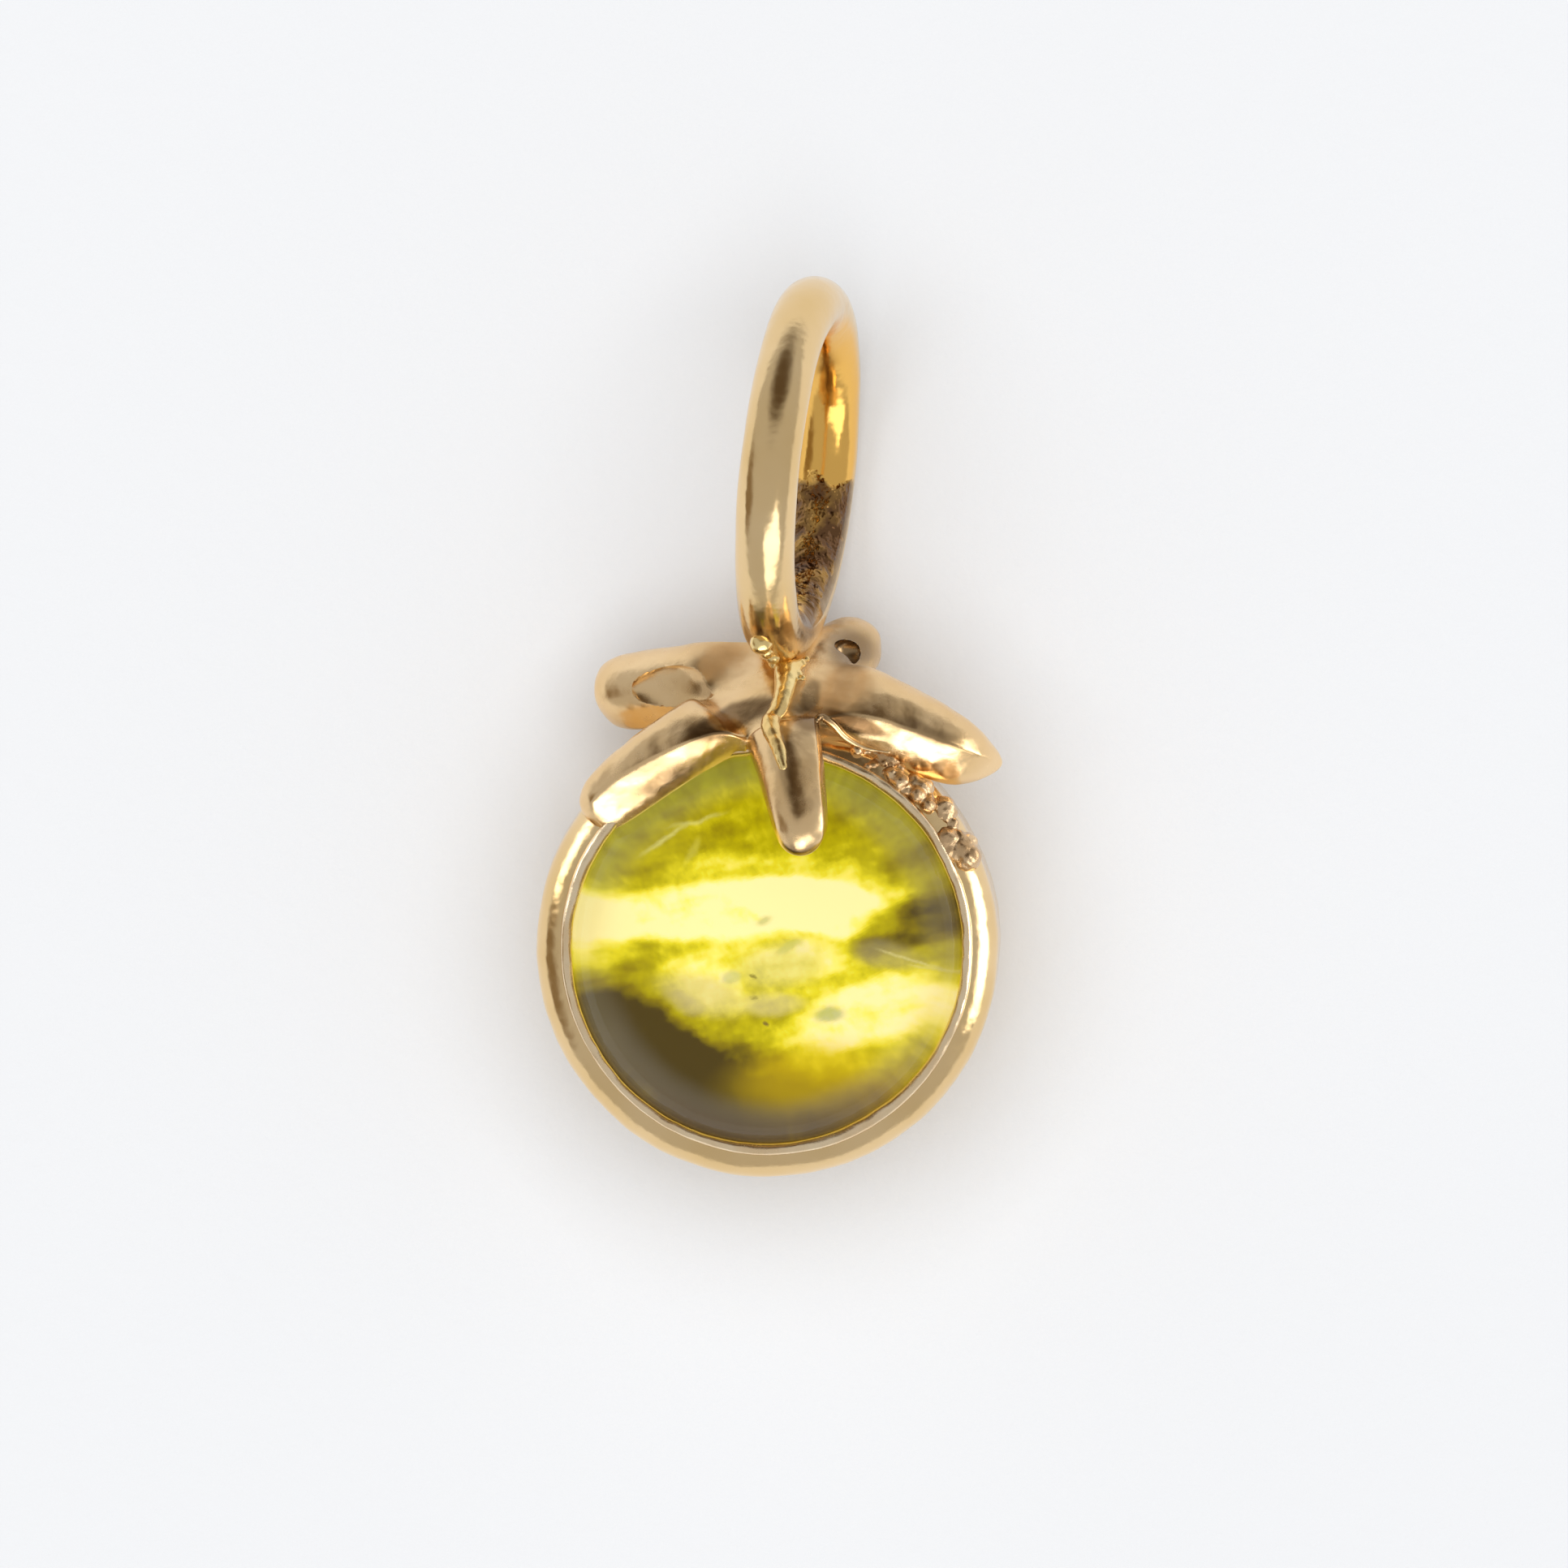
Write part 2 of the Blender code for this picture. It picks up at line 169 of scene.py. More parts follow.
def ramp(tree, value, stops):
    made = node(tree, "ShaderNodeValToRGB")
    elements = made.color_ramp.elements
    while len(elements) < len(stops):
        elements.new(0.5)
    for element, (place, colour) in zip(elements, stops):
        element.position = place
        element.color = (*colour, 1)[:4]
    tree.links.new(value, made.inputs["Fac"])
    return made.outputs["Color"], made.outputs["Alpha"]


def spread(tree, value, low, high, start=0.0, end=1.0, kind="LINEAR"):
    # Goes from low at start to high at end
    made = node(tree, "ShaderNodeMapRange", interpolation_type=kind)
    made.inputs["From Min"].default_value = start
    made.inputs["From Max"].default_value = end
    made.inputs["To Min"].default_value = low
    made.inputs["To Max"].default_value = high
    tree.links.new(value, made.inputs["Value"])
    return made.outputs["Result"]


def calculated(tree, operation, first, second):
    made = node(tree, "ShaderNodeMath", operation=operation)
    for socket, value in zip(made.inputs, (first, second)):
        if isinstance(value, (int, float)):
            socket.default_value = value
        else:
            tree.links.new(value, socket)
    return made.outputs["Value"]


def lengthOf(tree, where):
    made = node(tree, "ShaderNodeVectorMath", operation="LENGTH")
    tree.links.new(where, made.inputs[0])
    return made.outputs["Value"]


def bump(tree, height, distance, normal=None):
    made = node(tree, "ShaderNodeBump")
    made.inputs["Distance"].default_value = distance * mm
    tree.links.new(height, made.inputs["Height"])
    if normal is not None:
        tree.links.new(normal, made.inputs["Normal"])
    return made.outputs["Normal"]


def softSpot(tree, where, place, low, high, shrink=1.0):
    # Goes from high in the middle of an ellipse to low outside it
    x, y, length, width, turn, softness = place
    mapping = node(tree, "ShaderNodeMapping", vector_type="TEXTURE")
    mapping.inputs["Location"].default_value = (x * shrink, y * shrink, 0)
    mapping.inputs["Rotation"].default_value = (0, 0, math.radians(turn))
    mapping.inputs["Scale"].default_value = (length * shrink, width * shrink, 1)
    tree.links.new(where, mapping.inputs["Vector"])
    size = lengthOf(tree, mapping.outputs["Vector"])
    return spread(tree, size, high, low, 1 - 0.7 * softness, 1 + 0.5 * softness, "SMOOTHERSTEP")


def blended(tree, factor, first, second):
    # A mix of two colours, each a link or a plain colour
    made = node(tree, "ShaderNodeMix", data_type="RGBA")
    for socket, value in ((made.inputs[6], first), (made.inputs[7], second)):
        if isinstance(value, tuple):
            socket.default_value = (*value, 1)
        else:
            tree.links.new(value, socket)
    tree.links.new(factor, made.inputs["Factor"])
    return made.outputs[2]


def goldMaterial(name, look):
    # Hand-finished metal: broad patches of tone, uneven polish, ripples, fine scratches and grain
    material, tree, shader = newMaterial(name)
    shader.inputs["Metallic"].default_value = 1.0
    broad = noiseValue(tree, coordinates(tree), look["patch"], 2.0)
    colour, _ = ramp(tree, broad, [(0.3, look["deep"]), (0.7, look["bright"])])
    tree.links.new(colour, shader.inputs["Base Color"])
    handling = noiseValue(tree, coordinates(tree), 5.0, 4.0, 0.6)
    low, high = look["roughness"]
    tree.links.new(spread(tree, handling, low, high, 0.35, 0.7), shader.inputs["Roughness"])
    soft = bump(tree, noiseValue(tree, coordinates(tree), 3.2, 2.0), look["ripple"])
    scratches = noiseValue(tree, coordinates(tree, (3, 90, 40), turn=(0.2, 0.4, 0.7)), 1.0, 3.0, 0.7)
    fine = bump(tree, scratches, look["scratch"], soft)
    grain = noiseValue(tree, coordinates(tree), look["grainSize"], 4.0, 0.7)
    tree.links.new(bump(tree, grain, look["grain"], fine), shader.inputs["Normal"])
    return material, tree, shader


polishedLook = {
    "bright": (0.86, 0.63, 0.34),
    "deep": (0.80, 0.56, 0.26),
    "patch": 0.9,
    "roughness": (0.09, 0.22),
    "ripple": 0.012,
    "scratch": 0.0007,
    "grainSize": 28.0,
    "grain": 0.0005,
}
sepalLook = {
    "bright": (0.91, 0.66, 0.37),
    "deep": (0.80, 0.54, 0.26),
    "patch": 1.2,
    "roughness": (0.15, 0.31),
    "ripple": 0.012,
    "scratch": 0.0009,
    "grainSize": 20.0,
    "grain": 0.0010,
}
burnishedLook = {
    "bright": (0.95, 0.77, 0.52),
    "deep": (0.88, 0.66, 0.40),
    "patch": 3.0,
    "roughness": (0.12, 0.34),
    "ripple": 0.010,
    "scratch": 0.0010,
    "grainSize": 14.0,
    "grain": 0.0030,
}
solderLook = {
    "bright": (1.00, 0.79, 0.37),
    "deep": (0.90, 0.60, 0.22),
    "patch": 2.5,
    "roughness": (0.14, 0.36),
    "ripple": 0.010,
    "scratch": 0.0006,
    "grainSize": 14.0,
    "grain": 0.0030,
}
seamLook = {
    "bright": (0.90, 0.66, 0.40),
    "deep": (0.46, 0.27, 0.12),
    "patch": 2.6,
    "roughness": (0.16, 0.42),
    "ripple": 0.020,
    "scratch": 0.0010,
    "grainSize": 9.0,
    "grain": 0.0120,
}
gold = goldMaterial("polishedGold", polishedLook)[0]
burnished = goldMaterial("burnishedGold", burnishedLook)[0]
solder = goldMaterial("goldSolder", solderLook)[0]
seam = goldMaterial("grainySolder", seamLook)[0]
print("materials of the metal made")


# The cup that holds the stone

cup = {
    "radius": 2.88,
    "bellyHeight": 1.50,
    "backFlat": 1.90,  # radius of the flat back
    "shoulderHeight": 3.10,
    "shoulderRound": 0.62,
    "shoulderDrop": 0.48,
    "shoulderTurn": 62,  # how far the shoulder rolls in, in degrees
    "lipOutside": 2.56,
    "lipRadius": 2.42,
    "lipHeight": 3.14,
    "lipWave": 0.026,  # how unevenly the lip is pressed
    "underLip": [(0.03, 0.20), (0.10, 0.30)],  # how far out and how far down its inner face goes
    "seatHeight": 1.60,
    "wallInside": 2.53,
    "hollowRadius": 2.15,
    "hollowFloor": 0.55,
    "shift": (-0.03, -0.10),  # of the lip from the body's middle
    "dents": (1.3, 0.02, 3.0),  # their size, depth and seed
    "steps": 288,
}


def cupShape(radius, height, angle):
    # The setting sits low on the round body, and its lip is pressed down by hand
    share = min(1, max(0, (height - cup["bellyHeight"]) / (cup["shoulderHeight"] - cup["bellyHeight"])))
    dx, dy = (value * share for value in cup["shift"])
    wave = noise.noise(Vector((4 * math.cos(angle), 4 * math.sin(angle), radius)))
    fine = noise.noise(Vector((14 * math.cos(angle), 14 * math.sin(angle), 3 * radius)))
    onLip = max(0, (height - cup["shoulderHeight"]) / (cup["lipHeight"] - cup["shoulderHeight"]))
    out = radius + (wave + 0.5 * fine) * cup["lipWave"] * (0.4 + onLip)
    return out + dx * math.cos(angle) + dy * math.sin(angle), height + 0.6 * fine * cup["lipWave"] * onLip


def ellipse(start, end, count, middle, radii):
    turns = [math.radians(start + (end - start) * k / count) for k in range(count + 1)]
    return [(middle[0] + radii[0] * math.cos(a), middle[1] + radii[1] * math.sin(a), 0) for a in turns]


def makeCup():
    # The profile goes from the middle of the back round the wall, over the lip and down to the seat
    belly, shoulder = cup["bellyHeight"], cup["shoulderRound"]
    bulge = cup["radius"] - cup["backFlat"]
    below = ellipse(-90, 0, 24, (cup["backFlat"], belly), (bulge, belly))
    drop = cup["shoulderDrop"]
    roll = (cup["radius"] - shoulder - 0.01, cup["shoulderHeight"] - drop)
    above = ellipse(0, cup["shoulderTurn"], 28, roll, (shoulder, drop))
    outside, lip, top = cup["lipOutside"], cup["lipRadius"], cup["lipHeight"]
    half = (outside - lip) / 2
    ridge = [(r, z, 1) for r, z, _ in ellipse(15, 190, 12, (lip + half, top - half), (half, half))]
    under = [(lip + out, top - down, 0) for out, down in cup["underLip"]]
    seat, hollow, floor = cup["seatHeight"], cup["hollowRadius"], cup["hollowFloor"]
    inside = [(cup["wallInside"], seat, 0), (hollow, seat, 0), (hollow, floor, 0), (0, floor, 0)]
    made = lathe([(0, 0, 0), *below, *above, *ridge, *under, *inside], cup["steps"], cupShape)
    uneven(made, *cup["dents"])
    for vert in made.verts:
        vert.co.z = max(vert.co.z, 0)
    return addPiece("cup", made, [gold, burnished], "bezel_cup")


cupPiece = makeCup()
print("cup made")


# The stone

stone = {
    "radius": 2.50,
    "baseHeight": 1.68,
    "girdleHeight": 2.70,
    "dome": 1.30,
    "bevel": 0.15,
    "middle": (-0.03, -0.10),
    "steps": 192,
    "bending": 1.66,  # refractive index
    "shrink": 0.79,  # how much smaller the base is painted, because the dome magnifies it
    # painted glow: the base's emission stands in for light that comes in through the dome
    "glow": 0.40,
    "clear": (0.99, 0.99, 0.90),
    "shadow": (0.95, 0.95, 0.85),  # what the stone lets through to its base
    "rimFrom": 1.80,
    "rimTo": 2.30,
    "rimClear": 0.85,  # how clear the rim stays
    "shine": 0.10,
    "mirror": (0.30, 0.29, 0.24),
    # colours of the base from no light to full light
    "shades": [
        (0.00, (0.070, 0.046, 0.008)),
        (0.25, (0.24, 0.180, 0.004)),
        (0.50, (0.47, 0.400, 0.003)),
        (0.68, (0.76, 0.66, 0.020)),
        (0.84, (0.97, 0.84, 0.17)),
        (1.00, (1.00, 0.87, 0.43)),
    ],
    "plainLight": 0.47,
    # middle X and Y, half length and half width, turn in degrees, softness, and the light added or taken
    "lights": [
        (-0.60, 0.48, 2.00, 0.36, 4, 0.55, 0.50),
        (0.72, 0.50, 1.00, 0.34, -12, 0.40, 0.36),
        (-0.10, 0.92, 1.10, 0.30, -2, 1.0, 0.22),
        (0.05, -0.16, 1.30, 0.42, -8, 1.0, 0.26),
        (0.75, 0.06, 0.55, 0.30, -20, 0.8, 0.18),
        (-0.75, -0.44, 0.62, 0.26, -22, 0.8, 0.30),
        (1.30, -0.80, 1.15, 0.40, 18, 0.6, 0.48),
        (-2.10, 0.02, 0.50, 0.62, 0, 0.9, 0.36),
        (1.10, 0.84, 0.80, 0.22, -18, 1.0, 0.12),
        (0.60, -1.48, 0.80, 0.24, 10, 1.0, 0.16),
        (-1.35, -1.22, 1.30, 0.40, -40, 0.9, -0.60),
        (-1.90, -0.34, 0.40, 0.30, 40, 0.9, -0.26),
        (-0.50, -1.50, 0.95, 0.36, -12, 1.0, -0.42),
        (1.85, 0.34, 1.00, 0.30, 26, 0.7, -0.38),
        (1.60, 1.55, 0.90, 0.35, -42, 1.0, -0.08),
        (-1.50, 1.50, 0.80, 0.40, 40, 1.0, -0.06),
        (0.24, -1.94, 1.60, 0.38, 4, 1.0, -0.54),
    ],
    # painted reflections as pale haze and thin light arcs, painted light as a golden patch near the
    # bottom, and the stone's own green and dark specks: middle, half length and width, turn, softness,
    # amount, colour
    "paintedHazeAndSpecks": [
        (0.52, -1.57, 0.98, 0.40, 8, 1.0, 0.56, (0.60, 0.42, 0.002)),
        (-0.80, -0.55, 0.55, 0.24, -14, 0.9, 0.55, (0.62, 0.53, 0.30)),
        (0.20, -0.20, 0.60, 0.30, 10, 0.9, 0.40, (0.60, 0.55, 0.30)),
        (0.05, -0.70, 0.42, 0.14, 0, 0.9, 0.45, (0.76, 0.66, 0.34)),
        (-1.05, -0.66, 0.24, 0.12, -20, 0.9, 0.40, (0.50, 0.42, 0.22)),
        (1.50, -0.10, 0.40, 0.18, -12, 0.9, 0.45, (0.42, 0.36, 0.18)),
        (-0.06, 0.36, 0.12, 0.05, 20, 0.8, 0.50, (0.30, 0.36, 0.06)),
        (0.28, 0.02, 0.18, 0.07, 24, 0.8, 0.45, (0.34, 0.36, 0.08)),
        (0.78, -0.82, 0.20, 0.11, 12, 0.8, 0.60, (0.22, 0.30, 0.10)),
        (-0.45, -0.36, 0.14, 0.09, 0, 0.8, 0.50, (0.36, 0.40, 0.22)),
        (-0.16, -0.36, 0.05, 0.022, -30, 0.5, 0.75, (0.16, 0.12, 0.02)),
        (-0.17, -0.62, 0.05, 0.018, 10, 0.5, 0.60, (0.22, 0.18, 0.03)),
        (-0.03, -0.93, 0.05, 0.024, -15, 0.5, 0.80, (0.12, 0.06, 0.03)),
        (-1.25, 1.32, 0.34, 0.022, 36, 0.9, 0.50, (0.80, 0.76, 0.34)),
        (-0.88, 1.56, 0.36, 0.020, 18, 0.9, 0.40, (0.78, 0.74, 0.30)),
        (-0.95, 1.20, 0.20, 0.05, 60, 0.9, 0.30, (0.72, 0.66, 0.12)),
        (1.72, -0.14, 0.34, 0.016, -16, 0.7, 0.60, (0.66, 0.60, 0.28)),
        (1.95, -0.24, 0.20, 0.014, -6, 0.7, 0.50, (0.66, 0.60, 0.28)),
    ],
    # painted reflection of the bezel and painted shade just inside the lip: colours from the left side
    # and on round by the bottom, right and top
    "rim": [
        (0.00, (0.56, 0.52, 0.14, 0.45)),
        (0.08, (0.70, 0.60, 0.36, 0.8)),
        (0.18, (0.50, 0.39, 0.28, 0.95)),
        (0.38, (0.46, 0.35, 0.26, 0.95)),
        (0.46, (0.60, 0.52, 0.24, 0.5)),
        (0.52, (0.30, 0.22, 0.14, 0.8)),
        (0.58, (0.40, 0.34, 0.16, 0.7)),
        (0.66, (0.40, 0.46, 0.14, 0.7)),
        (0.80, (0.32, 0.46, 0.10, 0.7)),
        (0.92, (0.44, 0.52, 0.20, 0.6)),
        (1.00, (0.50, 0.46, 0.12, 0.45)),
    ],
}


def wandering(tree, where, scale, amount):
    # Shifts coordinates by smooth noise
    wander = node(tree, "ShaderNodeTexNoise")
    wander.inputs["Scale"].default_value = scale
    wander.inputs["Detail"].default_value = 3.0
    tree.links.new(where, wander.inputs["Vector"])
    centred = node(tree, "ShaderNodeVectorMath", operation="SUBTRACT")
    centred.inputs[1].default_value = (0.5, 0.5, 0.5)
    tree.links.new(wander.outputs["Color"], centred.inputs[0])
    small = node(tree, "ShaderNodeVectorMath", operation="SCALE")
    small.inputs["Scale"].default_value = amount
    tree.links.new(centred.outputs["Vector"], small.inputs[0])
    moved = node(tree, "ShaderNodeVectorMath", operation="ADD")
    tree.links.new(where, moved.inputs[0])
    tree.links.new(small.outputs["Vector"], moved.inputs[1])
    return moved.outputs["Vector"]


def stonePaintedLight():
    # Painted light at the bottom of the stone: bands of painted light and shade, cloudy patches and
    # specks, shown in the base's colour and in its painted glow
    material, tree, shader = newMaterial("stonePaintedLight")
    x, y = stone["middle"]
    flat = coordinates(tree, (1, 1, 0.0001), (x, y, 0))
    moved = wandering(tree, wandering(tree, flat, 1.5, 0.16), 6.0, 0.05)
    light = stone["plainLight"]
    for *place, amount in stone["lights"]:
        light = calculated(tree, "ADD", softSpot(tree, moved, place, 0.0, amount, stone["shrink"]), light)
    streaks = coordinates(tree, (1.2, 5.0, 0.0001), (x, y, 0), (0, 0, math.radians(14)))
    for grain, strength in (
        (noiseValue(tree, streaks, 1.4, 3.0, 0.5), 0.10),
        (noiseValue(tree, moved, 4.5, 6.0, 0.66), 0.13),
    ):
        light = calculated(tree, "ADD", spread(tree, grain, -strength, strength, 0.3, 0.7), light)
    colour, _ = ramp(tree, light, stone["shades"])
    # painted haze, light arcs and golden patch, and the stone's own specks
    for *place, amount, shade in stone["paintedHazeAndSpecks"]:
        colour = blended(tree, softSpot(tree, moved, place, 0.0, amount, stone["shrink"]), colour, shade)
    tree.links.new(colour, shader.inputs["Base Color"])
    # painted light: the base glows in its own painted colours
    tree.links.new(colour, shader.inputs["Emission Color"])
    shader.inputs["Emission Strength"].default_value = stone["glow"]
    shader.inputs["Specular IOR Level"].default_value = 0.0
    shader.inputs["Roughness"].default_value = 0.6
    return material


def stoneSurface():
    # Clear polished stone with a soft-edged rim, whose colour is a painted reflection of the bezel and
    # painted shade. Lamps reach what lies under it
    material, tree, shader = newMaterial("stoneSurface")
    x, y = stone["middle"]
    place = node(tree, "ShaderNodeSeparateXYZ")
    flat = coordinates(tree, (1, 1, 0.0001), (x, y, 0))
    tree.links.new(flat, place.inputs["Vector"])
    turn = calculated(tree, "ARCTAN2", place.outputs["Y"], place.outputs["X"])
    around = spread(tree, turn, 0.0, 1.0, -math.pi, math.pi)
    paintedRimReflection, rimWeight = ramp(tree, around, stone["rim"])
    fromMiddle = lengthOf(tree, wandering(tree, flat, 1.2, 0.10))
    edge = spread(tree, fromMiddle, 0.0, 1.0, stone["rimFrom"], stone["rimTo"], "SMOOTHSTEP")
    onRim = calculated(tree, "MULTIPLY", edge, rimWeight)
    colour = blended(tree, onRim, stone["clear"], paintedRimReflection)
    tree.links.new(colour, shader.inputs["Base Color"])
    through = spread(tree, onRim, 1.0, stone["rimClear"])
    tree.links.new(through, shader.inputs["Transmission Weight"])
    shader.inputs["IOR"].default_value = stone["bending"]
    shader.inputs["Specular IOR Level"].default_value = stone["shine"]
    shader.inputs["Specular Tint"].default_value = (*stone["mirror"], 1)
    wear = noiseValue(tree, coordinates(tree), 6.0, 4.0)
    tree.links.new(spread(tree, wear, 0.0, 0.06), shader.inputs["Roughness"])
    scratches = noiseValue(tree, coordinates(tree, (2, 60, 30), turn=(0.1, 0.3, 0.5)), 1.0, 3.0, 0.7)
    tree.links.new(bump(tree, scratches, 0.0004), shader.inputs["Normal"])
    light = node(tree, "ShaderNodeBsdfTransparent")
    light.inputs["Color"].default_value = (*stone["shadow"], 1)
    path = node(tree, "ShaderNodeLightPath")
    mix = node(tree, "ShaderNodeMixShader")
    tree.links.new(path.outputs["Is Shadow Ray"], mix.inputs["Fac"])
    tree.links.new(shader.outputs["BSDF"], mix.inputs[1])
    tree.links.new(light.outputs["BSDF"], mix.inputs[2])
    tree.links.new(mix.outputs["Shader"], tree.nodes["Material Output"].inputs["Surface"])
    return material


def makeStone():
    base, edge, bevel = stone["baseHeight"], stone["radius"], stone["bevel"]
    dome = ellipse(0, 90, 48, (0, stone["girdleHeight"]), (edge, stone["dome"]))[:-1]
    profile = [(0, base, 0), (edge - bevel, base, 1), (edge, base + bevel, 1)]
    profile += dome + [(0, stone["girdleHeight"] + stone["dome"], 0)]
    made = lathe(profile, stone["steps"])
    x, y = stone["middle"]
    bmesh.ops.translate(made, vec=point((x, y, 0)), verts=made.verts)
    return addPiece("stone", made, [stoneSurface(), stonePaintedLight()], "cabochon")


makeStone()
print("stone made")


# The calyx of five sepals

calyx = {
    "hubTop": (0.26, 3.34, 2.98),
    "hubBottom": (0.15, 2.62, 2.15),
    # upper and lower corner between each sepal and the next
    "notches": {
        "rightBack": ((0.98, 3.48, 2.20), (0.90, 2.90, 1.75)),
        "rightFront": ((0.60, 2.71, 3.16), (0.60, 2.30, 2.72)),
        "leftFront": ((-0.25, 2.44, 3.28), (-0.27, 2.12, 2.84)),
        "leftBack": ((-0.92, 2.98, 2.44), (-0.95, 2.45, 2.15)),
        "back": ((0.10, 3.82, 1.75), (0.15, 2.90, 1.60)),
    },
    # each station of a sepal: its middle, half width, half thickness and the way its face looks
    "sepals": {
        "rightBack": [
            ((0.72, 3.45, 1.45), 0.40, 0.32, (0.05, 0.97, 0.20)),
            ((0.97, 3.61, 1.02), 0.38, 0.32, (0.05, 0.97, 0.20)),
            ((1.15, 3.73, 0.66), 0.31, 0.28, (0.00, 0.95, 0.30)),
        ],
        "rightFront": [
            ((0.98, 2.98, 2.70), 0.52, 0.32, (0.12, 0.74, 0.66)),
            ((1.50, 2.77, 2.68), 0.48, 0.34, (0.24, 0.75, 0.62)),
            ((2.02, 2.47, 2.60), 0.42, 0.39, (0.33, 0.73, 0.60)),
            ((2.46, 2.26, 2.48), 0.32, 0.34, (0.36, 0.74, 0.57)),
            ((2.84, 2.20, 2.36), 0.09, 0.11, (0.38, 0.75, 0.54)),
        ],
        "leftFront": [
            ((0.16, 2.62, 3.22), 0.43, 0.27, (-0.10, 0.62, 0.78)),
            ((0.27, 2.12, 3.60), 0.38, 0.27, (-0.12, 0.50, 0.86)),
            ((0.34, 1.66, 3.88), 0.35, 0.26, (-0.12, 0.34, 0.92)),
            ((0.40, 1.36, 4.02), 0.31, 0.25, (-0.08, 0.08, 0.99)),
            ((0.38, 1.17, 3.90), 0.22, 0.20, (0.02, -0.72, 0.69)),
        ],
        "leftBack": [
            ((-0.66, 2.72, 2.92), 0.44, 0.30, (-0.20, 0.66, 0.72)),
            ((-1.06, 2.42, 2.98), 0.40, 0.36, (-0.40, 0.67, 0.62)),
            ((-1.49, 2.10, 3.00), 0.34, 0.38, (-0.50, 0.70, 0.50)),
            ((-1.92, 1.76, 3.00), 0.29, 0.38, (-0.56, 0.70, 0.43)),
            ((-2.20, 1.52, 2.96), 0.19, 0.25, (-0.56, 0.70, 0.43)),
        ],
        "back": [
            ((-0.62, 3.26, 2.12), 0.44, 0.36, (-0.22, 0.70, 0.68)),
            ((-1.02, 3.20, 1.86), 0.42, 0.36, (-0.30, 0.66, 0.68)),
            ((-1.44, 3.14, 1.60), 0.42, 0.38, (-0.34, 0.62, 0.70)),
            ((-1.84, 3.08, 1.38), 0.40, 0.38, (-0.36, 0.60, 0.70)),
            ((-2.06, 3.06, 1.26), 0.27, 0.28, (-0.36, 0.60, 0.70)),
        ],
    },
    # how far the middle of an upper face and of a side stands over its edges
    "crown": {"rightBack": 0.42, "rightFront": 0.42, "leftFront": 0.80, "leftBack": 0.42, "back": 0.42},
    "sideCrown": 0.12,
    # which upper edges of a sepal are crisp: 0 beside the sepal before it, 2 beside the one after it
    "crisp": {"rightBack": [], "rightFront": [2], "leftFront": [0], "leftBack": [0], "back": []},
    "edge": 0.50,  # how crisp these are
    "tip": 0.10,
    "rootLift": 0.08,
    # a thin edge curled up where the front right sepal starts
    "curl": [
        (0.57, 2.73), (0.65, 2.78), (0.79, 2.69), (0.94, 2.53), (1.18, 2.40), (1.50, 2.34),
    ],
    "curlRadius": 0.05,
    # hollows: X and Y, how far the middle stands over the surface, half sizes and slope in degrees
    "hollows": [
        (-1.22, 3.14, 0.02, (0.60, 0.32, 0.20), -30),
        (1.02, 3.62, 0.02, (0.25, 0.17, 0.22), 40),
    ],
    "smoothness": 4,
    "dents": [(0.45, 0.020, 8.0), (0.16, 0.005, 2.0)],  # their size, depth and seed
    # painted shade: dark stretches standing in for the sepals' dark reflection bands and the shade in
    # their hollows; middle X and Y, half length and width, turn in degrees, softness and amount
    "paintedDarkStretches": [
        (-0.50, 2.75, 0.58, 0.17, 22, 0.5, 0.82),
        (0.04, 2.86, 0.22, 0.13, 10, 0.6, 0.66),
        (0.50, 2.74, 0.27, 0.19, 0, 0.7, 0.80),
        (0.52, 3.06, 0.24, 0.13, 80, 0.6, 0.62),
        (0.98, 2.86, 0.44, 0.14, -8, 0.7, 0.34),
        (1.96, 2.61, 0.50, 0.11, -24, 0.7, 0.55),
        (1.07, 2.71, 0.42, 0.12, -22, 0.5, 0.95),
        (0.22, 2.18, 0.62, 0.10, -82, 0.9, 0.40),
        (-1.34, 2.03, 0.40, 0.12, 30, 0.9, 0.70),
        (-0.84, 3.14, 0.15, 0.12, 0, 0.8, 0.50),
        (0.42, 1.10, 0.30, 0.12, 0, 1.0, 0.72),
        (1.02, 3.64, 0.34, 0.26, 10, 1.0, 0.78),
    ],
    "paintedDarkColour": (0.15, 0.082, 0.034),
    # stretches left satin beside the ring, laid out the same way, with how much rougher they are
    "satin": [
        (-0.58, 3.48, 0.46, 0.30, 0, 0.8, 0.30),
        (0.96, 3.14, 0.40, 0.40, 0, 0.8, 0.30),
    ],
}


def sepalRings(made, name):
    # Eight points round each station of a sepal
    stations = calyx["sepals"][name]
    middles = [point(station[0]) for station in stations]
    rings = []
    for k, (_, halfWidth, halfThickness, faces) in enumerate(stations):
        along = (middles[min(k + 1, len(middles) - 1)] - middles[max(k - 1, 0)]).normalized()
        facing = Vector(faces)
        facing = (facing - along * facing.dot(along)).normalized()
        across = along.cross(facing) * halfWidth * mm
        normal = facing * halfThickness * mm
        crown, side = 1 + calyx["crown"][name], 1 + calyx["sideCrown"]
        # round the section from one upper edge over the crown to the other, and back below
        offsets = [
            normal - across, normal * crown, normal + across, across * side,
            across - normal, -normal * side, -normal - across, -across * side,
        ]
        rings.append([made.verts.new(middles[k] + offset) for offset in offsets])
    return rings


def closeTip(made, ring):
    # Closes the end of a sepal round one point that stands a little out
    middle = sum((v.co for v in ring), Vector()) / len(ring)
    outward = (ring[2].co - ring[0].co).cross(ring[6].co - ring[0].co).normalized()
    centre = made.verts.new(middle + outward * calyx["tip"] * mm)
    for corner in (0, 2, 4, 6):
        made.faces.new((ring[corner], ring[(corner + 1) % 8], centre, ring[corner - 1]))


